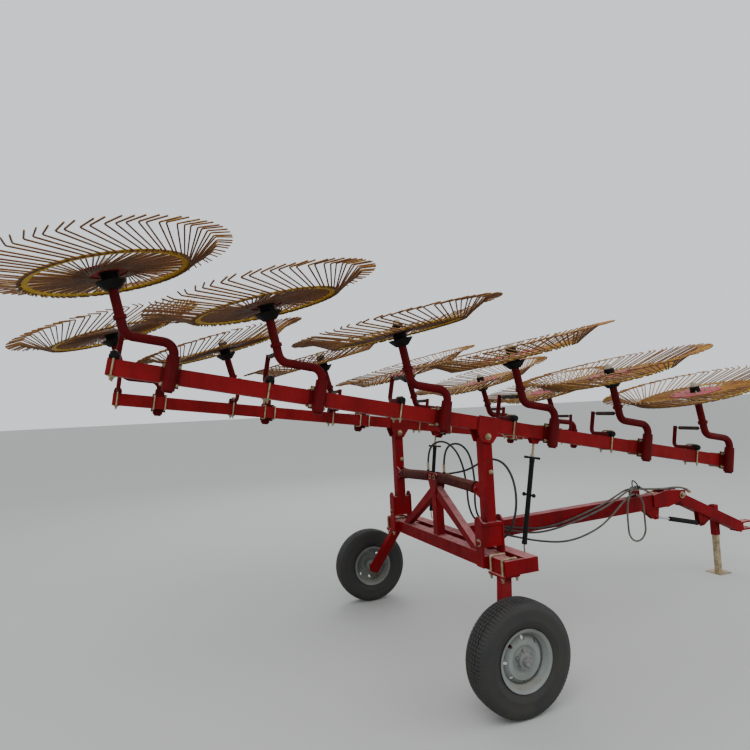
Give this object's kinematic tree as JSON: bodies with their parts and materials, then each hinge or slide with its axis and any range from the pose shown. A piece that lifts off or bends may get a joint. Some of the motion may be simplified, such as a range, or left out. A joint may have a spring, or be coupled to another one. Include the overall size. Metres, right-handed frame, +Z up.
{
  "type": "carted V wheel rake",
  "caption": "Towed V wheel rake in raised transport position: a two-wheel cart, tilting masts and two booms that carry overlapping tined rake wheels.",
  "frame": {"origin": "on the ground under the middle of the machine's whole length and width, 0.462 m ahead of the ground wheels' axle line", "axes": "+X forward to the hitch, +Y to the machine's left, +Z up"},
  "size_m": [7.046, 3.289, 2.9942],
  "materials": {
    "frame_red": "gloss paint, dusty",
    "boom_red": "gloss paint, faded",
    "crank_red": "dark gloss paint",
    "black_paint": "satin",
    "spring_steel": "dark oiled",
    "zinc": "yellow zinc",
    "cylinder_red": "gloss paint",
    "chrome": "polished",
    "tyre_rubber": "dusty",
    "rim_grey": "satin",
    "hose_rubber": "satin",
    "tine_gold": "worn yellow paint",
    "plate_red": "faded paint"
  },
  "bodies": {
    "cart": {"cart_frame": "frame_red", "a_frame": "frame_red", "wheel_legs": "frame_red", "leg_ubolts": "zinc", "tongue_rear": "frame_red", "hose_lift_R": "hose_rubber", "hose_lift_L": "hose_rubber", "hose_cross": "hose_rubber"},
    "ground_wheel_R": {"tyre_R": "tyre_rubber", "rim_R": "rim_grey"},
    "ground_wheel_L": {"tyre_L": "tyre_rubber", "rim_L": "rim_grey"},
    "mast_R": {"mast_R": "frame_red"},
    "boom_R": {"boom_R": "boom_red", "clamps_R": "crank_red", "cranks_R": "crank_red", "hub_housings_R": "black_paint", "spring_arms_R": "crank_red", "springs_R": "spring_steel", "strut_R": "black_paint"},
    "rake_R1": {"rake_wheel_R1": "tine_gold", "wheel_hub_R1": "plate_red"},
    "rake_R2": {"rake_wheel_R2": "tine_gold", "wheel_hub_R2": "plate_red"},
    "rake_R3": {"rake_wheel_R3": "tine_gold", "wheel_hub_R3": "plate_red"},
    "rake_R4": {"rake_wheel_R4": "tine_gold", "wheel_hub_R4": "plate_red"},
    "rake_R5": {"rake_wheel_R5": "tine_gold", "wheel_hub_R5": "plate_red"},
    "rake_R6": {"rake_wheel_R6": "tine_gold", "wheel_hub_R6": "plate_red"},
    "lift_barrel_R": {"lift_barrel_R": "cylinder_red"},
    "lift_rod_R": {"lift_rod_R": "chrome"},
    "mast_L": {"mast_L": "frame_red"},
    "boom_L": {"boom_L": "boom_red", "clamps_L": "crank_red", "cranks_L": "crank_red", "hub_housings_L": "black_paint", "spring_arms_L": "crank_red", "springs_L": "spring_steel", "strut_L": "black_paint"},
    "rake_L1": {"rake_wheel_L1": "tine_gold", "wheel_hub_L1": "plate_red"},
    "rake_L2": {"rake_wheel_L2": "tine_gold", "wheel_hub_L2": "plate_red"},
    "rake_L3": {"rake_wheel_L3": "tine_gold", "wheel_hub_L3": "plate_red"},
    "rake_L4": {"rake_wheel_L4": "tine_gold", "wheel_hub_L4": "plate_red"},
    "rake_L5": {"rake_wheel_L5": "tine_gold", "wheel_hub_L5": "plate_red"},
    "rake_L6": {"rake_wheel_L6": "tine_gold", "wheel_hub_L6": "plate_red"},
    "lift_barrel_L": {"lift_barrel_L": "cylinder_red"},
    "lift_rod_L": {"lift_rod_L": "chrome"},
    "tongue_front": {"tongue_front": "frame_red"},
    "knee_barrel": {"knee_barrel": "black_paint"},
    "knee_rod": {"knee_rod": "chrome"},
    "jack": {"jack_leg": "zinc"}
  },
  "joints": [
    {"name": "ground_wheel_spin_R", "type": "hinge", "parent": "cart", "child": "ground_wheel_R", "pos_m": [-0.462, -1.235, 0.35], "axis": [0, 1, 0], "continuous": true},
    {"name": "ground_wheel_spin_L", "type": "hinge", "parent": "cart", "child": "ground_wheel_L", "pos_m": [-0.462, 1.235, 0.35], "axis": [0, 1, 0], "continuous": true},
    {"name": "mast_tilt_R", "type": "hinge", "parent": "cart", "child": "mast_R", "pos_m": [-0.306, -0.75, 0.94], "axis": [1, 0, 0], "range_deg": [0, 90]},
    {"name": "boom_swing_R", "type": "hinge", "parent": "mast_R", "child": "boom_R", "pos_m": [-0.306, -0.75, 1.688], "axis": [-0.0384, -0.9993, 0], "range_deg": [0, 35]},
    {"name": "rake_spin_R1", "type": "hinge", "parent": "boom_R", "child": "rake_R1", "pos_m": [-2.744, -0.75041, 2.75915], "axis": [-0.2043, 0.0079, 0.9789], "continuous": true},
    {"name": "rake_spin_R2", "type": "hinge", "parent": "boom_R", "child": "rake_R2", "pos_m": [-1.85735, -0.78447, 2.59149], "axis": [-0.2043, 0.0079, 0.9789], "continuous": true},
    {"name": "rake_spin_R3", "type": "hinge", "parent": "boom_R", "child": "rake_R3", "pos_m": [-0.97071, -0.81853, 2.42383], "axis": [-0.2043, 0.0079, 0.9789], "continuous": true},
    {"name": "rake_spin_R4", "type": "hinge", "parent": "boom_R", "child": "rake_R4", "pos_m": [-0.08406, -0.8526, 2.25618], "axis": [-0.2043, 0.0079, 0.9789], "continuous": true},
    {"name": "rake_spin_R5", "type": "hinge", "parent": "boom_R", "child": "rake_R5", "pos_m": [0.80258, -0.88666, 2.08852], "axis": [-0.2043, 0.0079, 0.9789], "continuous": true},
    {"name": "rake_spin_R6", "type": "hinge", "parent": "boom_R", "child": "rake_R6", "pos_m": [1.68923, -0.92072, 1.92086], "axis": [-0.2043, 0.0079, 0.9789], "continuous": true},
    {"name": "lift_barrel_swing_R", "type": "hinge", "parent": "cart", "child": "lift_barrel_R", "pos_m": [-0.306, -0.035, 1.333], "axis": [1, 0, 0], "range_deg": [0, 8.5]},
    {"name": "lift_rod_slide_R", "type": "slide", "parent": "lift_barrel_R", "child": "lift_rod_R", "axis": [0, -0.9991, -0.0432], "range_m": [0, 0.497]},
    {"name": "mast_tilt_L", "type": "hinge", "parent": "cart", "child": "mast_L", "pos_m": [-0.306, 0.75, 0.94], "axis": [-1, 0, 0], "range_deg": [0, 90]},
    {"name": "boom_swing_L", "type": "hinge", "parent": "mast_L", "child": "boom_L", "pos_m": [-0.306, 0.75, 1.688], "axis": [0.0384, -0.9993, 0], "range_deg": [0, 35]},
    {"name": "rake_spin_L1", "type": "hinge", "parent": "boom_L", "child": "rake_L1", "pos_m": [-2.79995, 0.74826, 2.62149], "axis": [-0.2586, -0.0099, 0.9659], "continuous": true},
    {"name": "rake_spin_L2", "type": "hinge", "parent": "boom_L", "child": "rake_L2", "pos_m": [-1.90534, 0.78263, 2.50362], "axis": [-0.2586, -0.0099, 0.9659], "continuous": true},
    {"name": "rake_spin_L3", "type": "hinge", "parent": "boom_L", "child": "rake_L3", "pos_m": [-1.01072, 0.817, 2.38576], "axis": [-0.2586, -0.0099, 0.9659], "continuous": true},
    {"name": "rake_spin_L4", "type": "hinge", "parent": "boom_L", "child": "rake_L4", "pos_m": [-0.11611, 0.85136, 2.26789], "axis": [-0.2586, -0.0099, 0.9659], "continuous": true},
    {"name": "rake_spin_L5", "type": "hinge", "parent": "boom_L", "child": "rake_L5", "pos_m": [0.77851, 0.88573, 2.15003], "axis": [-0.2586, -0.0099, 0.9659], "continuous": true},
    {"name": "rake_spin_L6", "type": "hinge", "parent": "boom_L", "child": "rake_L6", "pos_m": [1.67312, 0.9201, 2.03216], "axis": [-0.2586, -0.0099, 0.9659], "continuous": true},
    {"name": "lift_barrel_swing_L", "type": "hinge", "parent": "cart", "child": "lift_barrel_L", "pos_m": [-0.306, 0.035, 1.333], "axis": [-1, 0, 0], "range_deg": [0, 8.5]},
    {"name": "lift_rod_slide_L", "type": "slide", "parent": "lift_barrel_L", "child": "lift_rod_L", "axis": [0, 0.9991, -0.0432], "range_m": [0, 0.497]},
    {"name": "knee", "type": "hinge", "parent": "cart", "child": "tongue_front", "pos_m": [2.469, 0, 0.905], "axis": [0, -1, 0], "range_deg": [-6, 8]},
    {"name": "knee_barrel_swing", "type": "hinge", "parent": "tongue_front", "child": "knee_barrel", "pos_m": [2.768, 0, 0.575], "axis": [0, -1, 0], "range_deg": [-3.51, 2.63]},
    {"name": "knee_rod_slide", "type": "slide", "parent": "knee_barrel", "child": "knee_rod", "axis": [-0.9762, 0, 0.2169], "range_m": [-0.02653, 0.03538]},
    {"name": "jack_slide", "type": "slide", "parent": "tongue_front", "child": "jack", "axis": [0, 0, 1], "range_m": [0, 0.28]}
  ],
  "couplings": [
    {"joint": "lift_barrel_swing_R", "follows": "mast_tilt_R", "ratio": 0.094444},
    {"joint": "lift_rod_slide_R", "follows": "mast_tilt_R", "m_per_rad": 0.3164},
    {"joint": "lift_barrel_swing_L", "follows": "mast_tilt_L", "ratio": 0.094444},
    {"joint": "lift_rod_slide_L", "follows": "mast_tilt_L", "m_per_rad": 0.3164},
    {"joint": "knee_barrel_swing", "follows": "knee", "ratio": -0.43791},
    {"joint": "knee_rod_slide", "follows": "knee", "m_per_rad": 0.25314}
  ]
}
